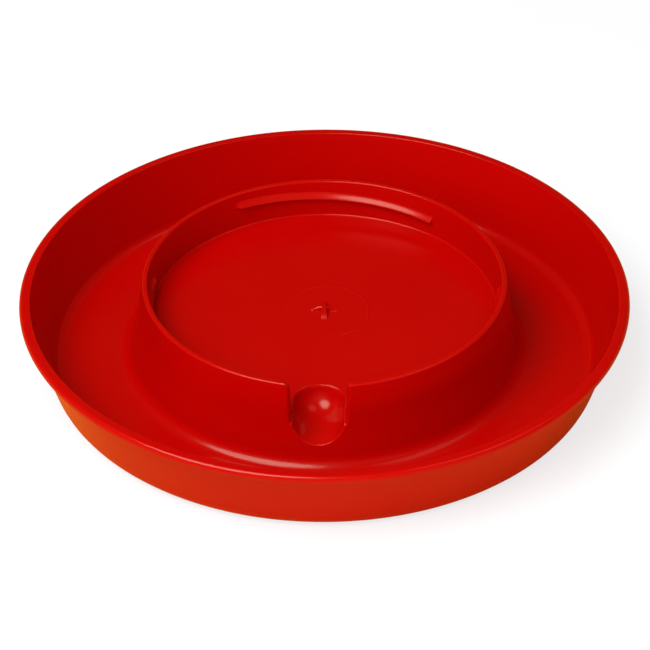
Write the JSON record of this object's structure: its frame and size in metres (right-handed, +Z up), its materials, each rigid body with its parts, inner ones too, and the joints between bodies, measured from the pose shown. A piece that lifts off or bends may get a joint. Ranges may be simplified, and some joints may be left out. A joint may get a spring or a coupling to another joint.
{
  "type": "poultry waterer base",
  "caption": "Round moulded drinking pan with a raised bayonet collar that holds an inverted water jar over a ring-shaped trough",
  "frame": {"origin": "centre of the foot ring, on the resting plane", "axes": "+Z up through the collar, -Y through the fill notch"},
  "size_m": [0.254, 0.254, 0.0392],
  "materials": {
    "red_plastic": "smooth glossy moulded red polyolefin"
  },
  "bodies": {
    "root": {"waterer_base": "red_plastic"}
  },
  "joints": []
}
